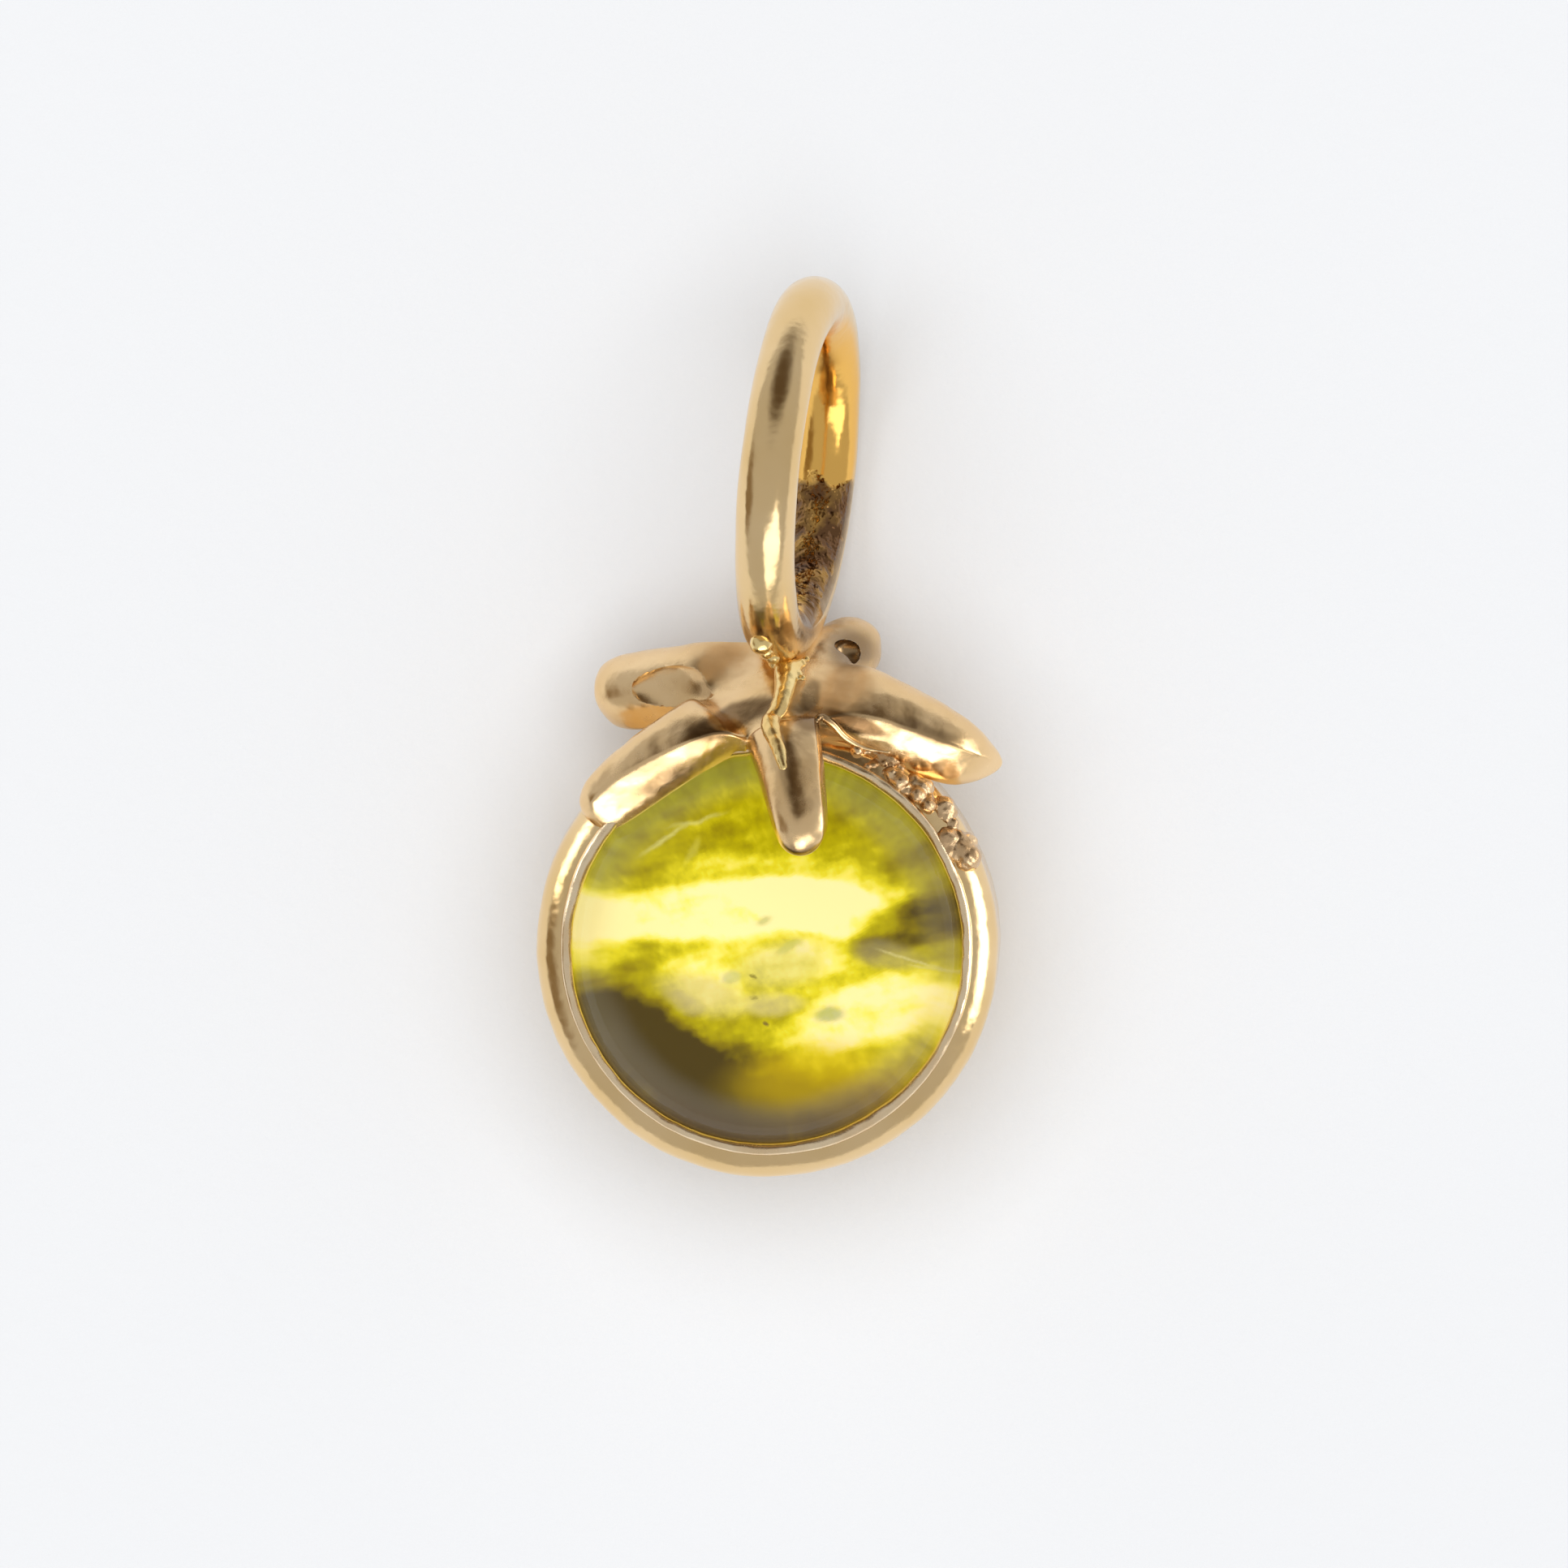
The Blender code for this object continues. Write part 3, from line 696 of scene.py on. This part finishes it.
def calyxCage():
    # A coarse closed mesh of the hub and its sepals, which subdivision then rounds
    made = bmesh.new()
    crease = made.edges.layers.float.new("crease_edge")
    corners = {}
    for name, (top, bottom) in calyx["notches"].items():
        high, low = point(top), point(bottom)
        corners[name] = [made.verts.new(p) for p in (high, (high + low) / 2, low)]
    names = list(calyx["sepals"])
    roots = []
    for k, name in enumerate(names):
        before, after = corners[names[k - 1]], corners[name]
        lift = Vector(calyx["sepals"][name][0][3]) * calyx["rootLift"] * mm
        top = made.verts.new((before[0].co + after[0].co) / 2 + lift)
        bottom = made.verts.new((before[2].co + after[2].co) / 2 - lift)
        roots.append((top, bottom))
        root = [before[0], top, after[0], after[1], after[2], bottom, before[2], before[1]]
        rings = [root, *sepalRings(made, name)]
        for ring, following in zip(rings, rings[1:]):
            for j in range(8):
                made.faces.new((ring[j], ring[(j + 1) % 8], following[(j + 1) % 8], following[j]))
        closeTip(made, rings[-1])
        crisp = calyx["crisp"][name]
        pairs = [(low[j], high[j]) for low, high in zip(rings, rings[1:]) for j in crisp]
        for pair in pairs:
            made.edges.get(pair)[crease] = calyx["edge"]
    centres = [made.verts.new(point(calyx["hubTop"])), made.verts.new(point(calyx["hubBottom"]))]
    for k, name in enumerate(names):
        following = roots[(k + 1) % len(roots)]
        for level, corner in ((0, 0), (1, 2)):
            made.faces.new((centres[level], roots[k][level], corners[name][corner], following[level]))
    bmesh.ops.recalc_face_normals(made, faces=made.faces)
    return made


def hollowTool(surface, x, y, rise, half, slope):
    # A stretched ball that is carved out of the sepals
    made = bmesh.new()
    middle = (x, y, surfaceHeight(surface, x, y) / mm + rise)
    bmesh.ops.create_uvsphere(made, u_segments=64, v_segments=32, radius=mm)
    bmesh.ops.scale(made, vec=Vector(half), verts=made.verts)
    bmesh.ops.rotate(made, matrix=Matrix.Rotation(math.radians(slope), 3, "Y"), verts=made.verts)
    bmesh.ops.translate(made, vec=point(middle), verts=made.verts)
    mesh = bpy.data.meshes.new("hollowTool")
    made.to_mesh(mesh)
    made.free()
    tool = bpy.data.objects.new("hollowTool", mesh)
    bpy.context.scene.collection.objects.link(tool)
    return tool


def tubeAlong(made, path, radii, sides):
    # A round tube through points, closed at both ends
    rings = []
    for k, (place, radius) in enumerate(zip(path, radii)):
        along = (path[min(k + 1, len(path) - 1)] - path[max(k - 1, 0)]).normalized()
        across = along.cross(Vector((0, 0, 1))).normalized()
        above = across.cross(along)
        turns = [2 * math.pi * j / sides for j in range(sides)]
        spokes = [across * math.cos(a) + above * math.sin(a) for a in turns]
        rings.append([made.verts.new(place + spoke * radius) for spoke in spokes])
    for low, high in zip(rings, rings[1:]):
        for j in range(sides):
            made.faces.new((low[j], low[(j + 1) % sides], high[(j + 1) % sides], high[j]))
    made.faces.new(reversed(rings[0]))
    made.faces.new(rings[-1])


def addCurl(made):
    # Lays the curled edge on the sepals, thinner at both ends
    surface = BVHTree.FromBMesh(made)
    path, radii = [], []
    places = curvePoints([Vector(place) for place in calyx["curl"]], 10)
    for k, place in enumerate(places):
        share = k / (len(places) - 1)
        path.append(Vector((*(place * mm), 0)))
        fullness = math.sin(math.pi * min(1, share + 0.12)) ** 0.5
        radii.append(calyx["curlRadius"] * (0.35 + 0.65 * fullness) * mm)
    heights = [surfaceHeight(surface, place.x, place.y) for place in places]
    for k, place in enumerate(path):
        near = heights[max(0, k - 6):k + 7]
        place.z = sum(near) / len(near) + 0.2 * radii[k]
    tubeAlong(made, path, radii, 10)


def sepalGold():
    # Gold with painted shade: soft dark stretches for the dark reflection bands and the hollows
    material, tree, shader = goldMaterial("sepalGold", sepalLook)
    colour = shader.inputs["Base Color"].links[0].from_socket
    where = wandering(tree, coordinates(tree, (1, 1, 0.0001)), 1.4, 0.22)
    # painted shade and painted dark reflections laid over the gold
    for *place, amount in calyx["paintedDarkStretches"]:
        colour = blended(tree, softSpot(tree, where, place, 0.0, amount), colour, calyx["paintedDarkColour"])
    tree.links.new(colour, shader.inputs["Base Color"])
    roughness = shader.inputs["Roughness"].links[0].from_socket
    for *place, more in calyx["satin"]:
        roughness = calculated(tree, "ADD", roughness, softSpot(tree, where, place, 0.0, more))
    tree.links.new(roughness, shader.inputs["Roughness"])
    return material


def makeCalyx():
    # Rounds the cage, carves the hollows and adds dents and the curled edge
    mesh = bpy.data.meshes.new("calyxCage")
    cage = calyxCage()
    cage.to_mesh(mesh)
    cage.free()
    draft = bpy.data.objects.new("calyxDraft", mesh)
    bpy.context.scene.collection.objects.link(draft)
    rounding = draft.modifiers.new("rounding", "SUBSURF")
    rounding.levels = calyx["smoothness"]
    whole = bmesh.new()
    whole.from_mesh(finished(draft))
    surface = BVHTree.FromBMesh(whole)
    whole.free()
    tools = [hollowTool(surface, *hollow) for hollow in calyx["hollows"]]
    for tool in tools:
        carve = draft.modifiers.new("hollow", "BOOLEAN")
        carve.operation = "DIFFERENCE"
        carve.object = tool
    fine = finished(draft)
    for helper in (draft, *tools):
        bpy.data.objects.remove(helper)
    made = bmesh.new()
    made.from_mesh(fine)
    for dents in calyx["dents"]:
        uneven(made, *dents)
    addCurl(made)
    bmesh.ops.recalc_face_normals(made, faces=made.faces)
    return addPiece("sepals", made, [sepalGold()], "calyx")


calyxPiece = makeCalyx()
print("calyx made")


# The bail

bail = {
    "radius": 2.055,
    "wire": 0.37,
    "lean": 6.2,
    "turn": 9.8,
    "middle": (0.354, 5.858, 2.395),
    "steps": 256,
    "wireSteps": 48,
    "dents": (0.9, 0.015, 5.0),  # their size, depth and seed
    # painted reflection, a deeper colour inside the ring as gold mirrored in gold: how far in from the
    # wire's middle it is full and where it ends, and the height below which it is full and above which it
    # is gone
    "innerPaintedReflection": (0.93, 0.54, 0.13),
    "innerEdge": (0.22, 0.08),
    "innerHeights": (2.6, 3.4),
    # pits left by the torch inside the lower limb, whose dark colour is also painted shade low in the
    # ring: where along Y, how high, their depth and colour
    "pitsFrom": 3.70,
    "pitsTo": 5.75,
    "pitsBelow": 1.90,
    "pitsSoft": 0.3,  # how far above and below that height they fade
    "pitDepth": 0.20,
    "pitAndShadeColour": (0.16, 0.08, 0.035),
    # painted shade beside the pits, under the ring's foot: middle X and Y, half length and width, turn,
    # softness; amount
    "paintedShadeStretch": ((0.50, 4.08, 0.50, 0.11, 82, 0.9), 0.88),
}


def bailAxes():
    # The ring's long axis, its upward one and the one across it
    lean, turn = math.radians(bail["lean"]), math.radians(bail["turn"])
    up = Vector((math.sin(lean), math.cos(lean), 0))
    side = Vector((math.cos(lean), -math.sin(lean), 0))
    near = Vector((0, 0, 1)) * math.cos(turn) - side * math.sin(turn)
    return up, near, up.cross(near)


def between(tree, value, low, high, soft):
    # 1 between low and high and 0 outside, with soft edges
    rising = spread(tree, value, 0.0, 1.0, low - soft, low + soft)
    falling = spread(tree, value, 1.0, 0.0, high - soft, high + soft)
    return calculated(tree, "MULTIPLY", rising, falling)


def bailGold():
    # Polished outside, with a painted reflection deepening the colour inside the ring, pits at its foot,
    # and painted shade darkening the lower inside and the foot
    material, tree, shader = goldMaterial("bailGold", polishedLook)
    middle, radius = bail["middle"], bail["radius"]
    place = node(tree, "ShaderNodeSeparateXYZ")
    tree.links.new(coordinates(tree), place.inputs["Vector"])
    fromMiddle = lengthOf(tree, coordinates(tree, (0.0001, 1, 1), middle))
    full, end = bail["innerEdge"]
    inner = spread(tree, fromMiddle, 1.0, 0.0, radius - full, radius - end)
    below, soft = bail["pitsBelow"], bail["pitsSoft"]
    low = spread(tree, place.outputs["Z"], 1.0, 0.0, below - soft, below + soft)
    ragged = spread(tree, noiseValue(tree, coordinates(tree), 3.0), -0.3, 0.3)
    along = calculated(tree, "ADD", place.outputs["Y"], ragged)
    span = between(tree, along, bail["pitsFrom"], bail["pitsTo"], 0.05)
    # the pits are bumped, and their dark colour is partly painted shade where the ring nears the paper
    pits = calculated(tree, "MULTIPLY", calculated(tree, "MULTIPLY", inner, low), span)
    grain = noiseValue(tree, coordinates(tree), 3.0, 3.0, 0.5)
    dark = calculated(tree, "MULTIPLY", pits, spread(tree, grain, 1.0, 0.60, 0.44, 0.66))
    base = shader.inputs["Base Color"].links[0].from_socket
    far = spread(tree, place.outputs["Z"], 1.0, 0.0, *bail["innerHeights"])
    # painted reflection: the inside of the ring is deepened in colour low down
    paintedWarmReflection = blended(tree, calculated(tree, "MULTIPLY", inner, far), base, bail["innerPaintedReflection"])
    # painted shade under the ring's foot
    shadeStretchPlace, shadeStretchAmount = bail["paintedShadeStretch"]
    fromAbove = wandering(tree, coordinates(tree, (1, 1, 0.0001)), 3.0, 0.14)
    paintedShadeMask = calculated(tree, "MULTIPLY", softSpot(tree, fromAbove, shadeStretchPlace, 0.0, shadeStretchAmount), far)
    pitted = blended(tree, dark, paintedWarmReflection, bail["pitAndShadeColour"])
    tree.links.new(blended(tree, paintedShadeMask, pitted, bail["pitAndShadeColour"]), shader.inputs["Base Color"])
    surface = shader.inputs["Normal"].links[0].from_socket
    rough = calculated(tree, "MULTIPLY", pits, grain)
    tree.links.new(bump(tree, rough, bail["pitDepth"], surface), shader.inputs["Normal"])
    return material


def makeBail():
    # A ring of round wire, whose lower limb rests on the paper
    up, near, across = bailAxes()
    made = bmesh.new()
    rings = []
    for k in range(bail["steps"]):
        a = 2 * math.pi * k / bail["steps"]
        out = up * math.cos(a) + near * math.sin(a)
        ring = []
        for j in range(bail["wireSteps"]):
            b = 2 * math.pi * j / bail["wireSteps"]
            offset = (out * math.cos(b) + across * math.sin(b)) * bail["wire"]
            ring.append(made.verts.new(point(bail["middle"]) + (out * bail["radius"] + offset) * mm))
        rings.append(ring)
    for k, ring in enumerate(rings):
        following = rings[(k + 1) % len(rings)]
        for j in range(len(ring)):
            after = (j + 1) % len(ring)
            made.faces.new((ring[j], ring[after], following[after], following[j]))
    bmesh.ops.recalc_face_normals(made, faces=made.faces)
    uneven(made, *bail["dents"])
    for vert in made.verts:
        vert.co.z = max(vert.co.z, 0)
    return addPiece("bail", made, [bailGold()], "bail_ring")


bailPiece = makeBail()
print("bail made")


# Solder at the bail's foot and along the lip

footSolder = {
    # X, Y, radius and how far the middle stands over the sepals
    "beads": [
        (-0.10, 3.70, 0.15, -0.05), (-0.04, 3.60, 0.10, -0.04), (0.04, 3.52, 0.09, -0.03),
        (0.10, 3.44, 0.12, -0.04), (0.20, 3.39, 0.14, -0.05), (0.31, 3.40, 0.11, -0.03),
        (0.39, 3.44, 0.08, -0.02), (0.46, 3.50, 0.05, -0.01), (0.13, 3.34, 0.07, -0.02),
        (0.34, 3.31, 0.08, -0.03), (0.41, 3.26, 0.05, -0.01), (0.24, 3.30, 0.14, -0.07),
    ],
    "run": [
        (0.22, 3.34), (0.19, 3.12), (0.12, 2.88), (0.02, 2.69), (0.07, 2.50), (0.13, 2.34), (0.17, 2.16),
    ],
    "runWidths": [0.17, 0.13, 0.12, 0.13, 0.10, 0.09, 0.06],
    "runSteps": 12,
    "melt": (0.016, 10, 0.010),  # fineness, rounds of smoothing and roughness
}
seamSolder = {
    # grains from one angle to another round the lip, and the sizes of their lumps
    "firstAngle": 66,
    "lastAngle": 24,
    "ringRadius": 2.69,
    "width": 0.12,
    "smallest": 0.055,
    "largest": (0.12, 0.20),
    "grains": 44,
    "melt": (0.013, 4, 0.022),
    "seed": 11,
}


def joinedLumps(name, lumps, voxel, smoothing, roughness):
    # Rounded lumps melted into one body. They are melted at a large scale, which the remesher needs
    made = bmesh.new()
    for middle, radius in lumps:
        place = Matrix.Translation(middle / mm)
        bmesh.ops.create_icosphere(made, subdivisions=3, radius=radius / mm, matrix=place)
    mesh = bpy.data.meshes.new(name)
    made.to_mesh(mesh)
    made.free()
    draft = bpy.data.objects.new(name, mesh)
    bpy.context.scene.collection.objects.link(draft)
    melt = draft.modifiers.new("melt", "REMESH")
    melt.mode = "VOXEL"
    melt.voxel_size = voxel
    soften = draft.modifiers.new("soften", "SMOOTH")
    soften.factor = 0.5
    soften.iterations = smoothing
    joined = finished(draft)
    bpy.data.objects.remove(draft)
    joined.transform(Matrix.Scale(mm, 4))
    made = bmesh.new()
    made.from_mesh(joined)
    uneven(made, 0.10, roughness, 4.0)
    made.to_mesh(joined)
    made.free()
    return joined


def makeFootSolder():
    # Beads round the ring's foot, and a run of small lumps down the front of the sepals
    graph = bpy.context.evaluated_depsgraph_get()
    surface = BVHTree.FromObject(calyxPiece, graph)
    ring = BVHTree.FromObject(bailPiece, graph)
    lumps = []
    for x, y, radius, rise in footSolder["beads"]:
        height = max(surfaceHeight(surface, x, y), surfaceHeight(ring, x, y))
        lumps.append((Vector((x * mm, y * mm, height + rise * mm)), radius * mm))
    steps = footSolder["runSteps"]
    path = curvePoints([Vector((x, y)) for x, y in footSolder["run"]], steps)
    widths = footSolder["runWidths"]
    for k, place in enumerate(path):
        low = min(k // steps, len(widths) - 2)
        share = k / steps - low
        radius = (widths[low] + (widths[low + 1] - widths[low]) * share) * mm
        lumps.append((Vector((*(place * mm), surfaceHeight(surface, *place) - 0.35 * radius)), radius))
    mesh = joinedLumps("runDraft", lumps, *footSolder["melt"])
    return addMesh("footSolder", mesh, [solder], "bail_solder")


def makeSeamSolder():
    # Grains scattered along the lip, larger towards the last angle
    surface = BVHTree.FromObject(cupPiece, bpy.context.evaluated_depsgraph_get())
    pick = random.Random(seamSolder["seed"])
    first, last = math.radians(seamSolder["firstAngle"]), math.radians(seamSolder["lastAngle"])
    lumps = []
    for k in range(seamSolder["grains"]):
        share = (k + pick.random()) / seamSolder["grains"]
        angle = first + (last - first) * share
        ring = seamSolder["ringRadius"] + pick.uniform(-1, 1) * seamSolder["width"]
        x = ring * math.cos(angle) + cup["shift"][0]
        y = ring * math.sin(angle) + cup["shift"][1]
        height = surfaceHeight(surface, x, y) + pick.uniform(-0.08, 0.03) * mm
        large = seamSolder["largest"][0] * (1 - share) + seamSolder["largest"][1] * share
        lumps.append((Vector((x * mm, y * mm, height)), pick.uniform(seamSolder["smallest"], large) * mm))
    mesh = joinedLumps("grainDraft", lumps, *seamSolder["melt"])
    return addMesh("seamSolder", mesh, [seam], "seam_solder")


makeFootSolder()
makeSeamSolder()
print("solder made")


# White paper

paper = {"side": 1000, "colour": (0.87, 0.885, 0.91), "fibre": 0.02}


def makePaper():
    # Seen from below the paper is clear, so that the charm's back shows
    material, tree, shader = newMaterial("paper")
    shader.inputs["Base Color"].default_value = (*paper["colour"], 1)
    shader.inputs["Roughness"].default_value = 0.9
    shader.inputs["Specular IOR Level"].default_value = 0.2
    fibres = noiseValue(tree, coordinates(tree), 3.0, 6.0, 0.6)
    tree.links.new(bump(tree, fibres, paper["fibre"]), shader.inputs["Normal"])
    clear = node(tree, "ShaderNodeBsdfTransparent")
    side = node(tree, "ShaderNodeNewGeometry")
    mix = node(tree, "ShaderNodeMixShader")
    tree.links.new(side.outputs["Backfacing"], mix.inputs["Fac"])
    tree.links.new(shader.outputs["BSDF"], mix.inputs[1])
    tree.links.new(clear.outputs["BSDF"], mix.inputs[2])
    tree.links.new(mix.outputs["Shader"], tree.nodes["Material Output"].inputs["Surface"])
    made = bmesh.new()
    bmesh.ops.create_grid(made, x_segments=1, y_segments=1, size=paper["side"] / 2 * mm)
    mesh = bpy.data.meshes.new("paper")
    made.to_mesh(mesh)
    made.free()
    mesh.materials.append(material)
    sheet = bpy.data.objects.new("paper", mesh)
    bpy.context.scene.collection.objects.link(sheet)


makePaper()
print("paper made")


# Room and lamps

room = {
    "walls": (0.55, 0.55, 0.55),
    # darker parts that the gold mirrors: direction, half angles of middle and edge in degrees, colour
    "areas": [
        ((0.05, 0.80, 0.60), 12, 40, (0.11, 0.08, 0.05)),
        ((-0.97, -0.10, 0.16), 10, 26, (0.26, 0.20, 0.13)),
    ],
}
lamps = {
    # direction, distance, width, height, power and the pieces that it lights, where not all
    "above": ((-0.05, 0.05, 1.00), 450, 520, 520, 1.66, ()),
    "glow": ((0.38, -0.75, 0.52), 300, 260, 200, 0.26, ("sepals", "bail", "footSolder", "seamSolder")),
    "frontWindow": ((0.04, -0.94, 0.32), 300, 200, 150, 0.32, ("sepals", "footSolder")),
    "rightWindow": ((0.98, 0.05, 0.20), 300, 230, 150, 0.36, ("cup", "sepals", "seamSolder")),
    "smallWindow": ((-0.90, 0.42, 0.22), 300, 120, 110, 0.12, ("cup",)),
}


def makeRoom():
    world = bpy.data.worlds.new("room")
    bpy.context.scene.world = world
    world.use_nodes = True
    tree = world.node_tree
    source = node(tree, "ShaderNodeTexCoord")
    colour = room["walls"]
    for direction, inner, outer, shade in room["areas"]:
        towards = node(tree, "ShaderNodeVectorMath", operation="DOT_PRODUCT")
        towards.inputs[1].default_value = Vector(direction).normalized()
        tree.links.new(source.outputs["Generated"], towards.inputs[0])
        far, near = (math.cos(math.radians(angle)) for angle in (outer, inner))
        edge = spread(tree, towards.outputs["Value"], 0.0, 1.0, far, near, "SMOOTHSTEP")
        colour = blended(tree, edge, colour, shade)
    tree.links.new(colour, tree.nodes["Background"].inputs["Color"])


def makeLamps():
    for name, (direction, distance, width, height, power, lit) in lamps.items():
        data = bpy.data.lights.new(name, "AREA")
        data.shape = "RECTANGLE"
        data.size = width * mm
        data.size_y = height * mm
        data.energy = power
        lamp = bpy.data.objects.new(name, data)
        if lit:
            chosen = bpy.data.collections.new(name)
            for piece in lit:
                chosen.objects.link(bpy.data.objects[piece])
            lamp.light_linking.receiver_collection = chosen
        else:
            # the lamp for everything lights the pieces but isn't mirrored in them
            lamp.visible_glossy = False
            lamp.visible_transmission = False
        away = Vector(direction).normalized()
        lamp.location = away * distance * mm
        lamp.rotation_euler = away.to_track_quat("Z", "Y").to_euler()
        bpy.context.scene.collection.objects.link(lamp)


makeRoom()
makeLamps()
bpy.context.scene.view_settings.view_transform = "Standard"
print("room and lamps made")


# The camera looks straight down

camera = {
    "height": 300,
    "focusHeight": 2.5,
    "sensor": 36,
    "photoSide": 1932,  # in pixels
    "pixelSize": 0.0101,
    "bodyAt": (948, 1159),  # pixel of the body's middle
}


def makeCamera():
    data = bpy.data.cameras.new("camera")
    side, pixel = camera["photoSide"], camera["pixelSize"] * mm
    distance = (camera["height"] - camera["focusHeight"]) * mm
    data.sensor_width = camera["sensor"]
    data.lens = camera["sensor"] * distance / (side * pixel)
    data.clip_start = 10 * mm
    data.clip_end = 2
    eye = bpy.data.objects.new("camera", data)
    x = (side / 2 - camera["bodyAt"][0]) * pixel
    y = (camera["bodyAt"][1] - side / 2) * pixel
    eye.location = (x, y, camera["height"] * mm)
    bpy.context.scene.collection.objects.link(eye)
    bpy.context.scene.camera = eye


makeCamera()
print("camera made")
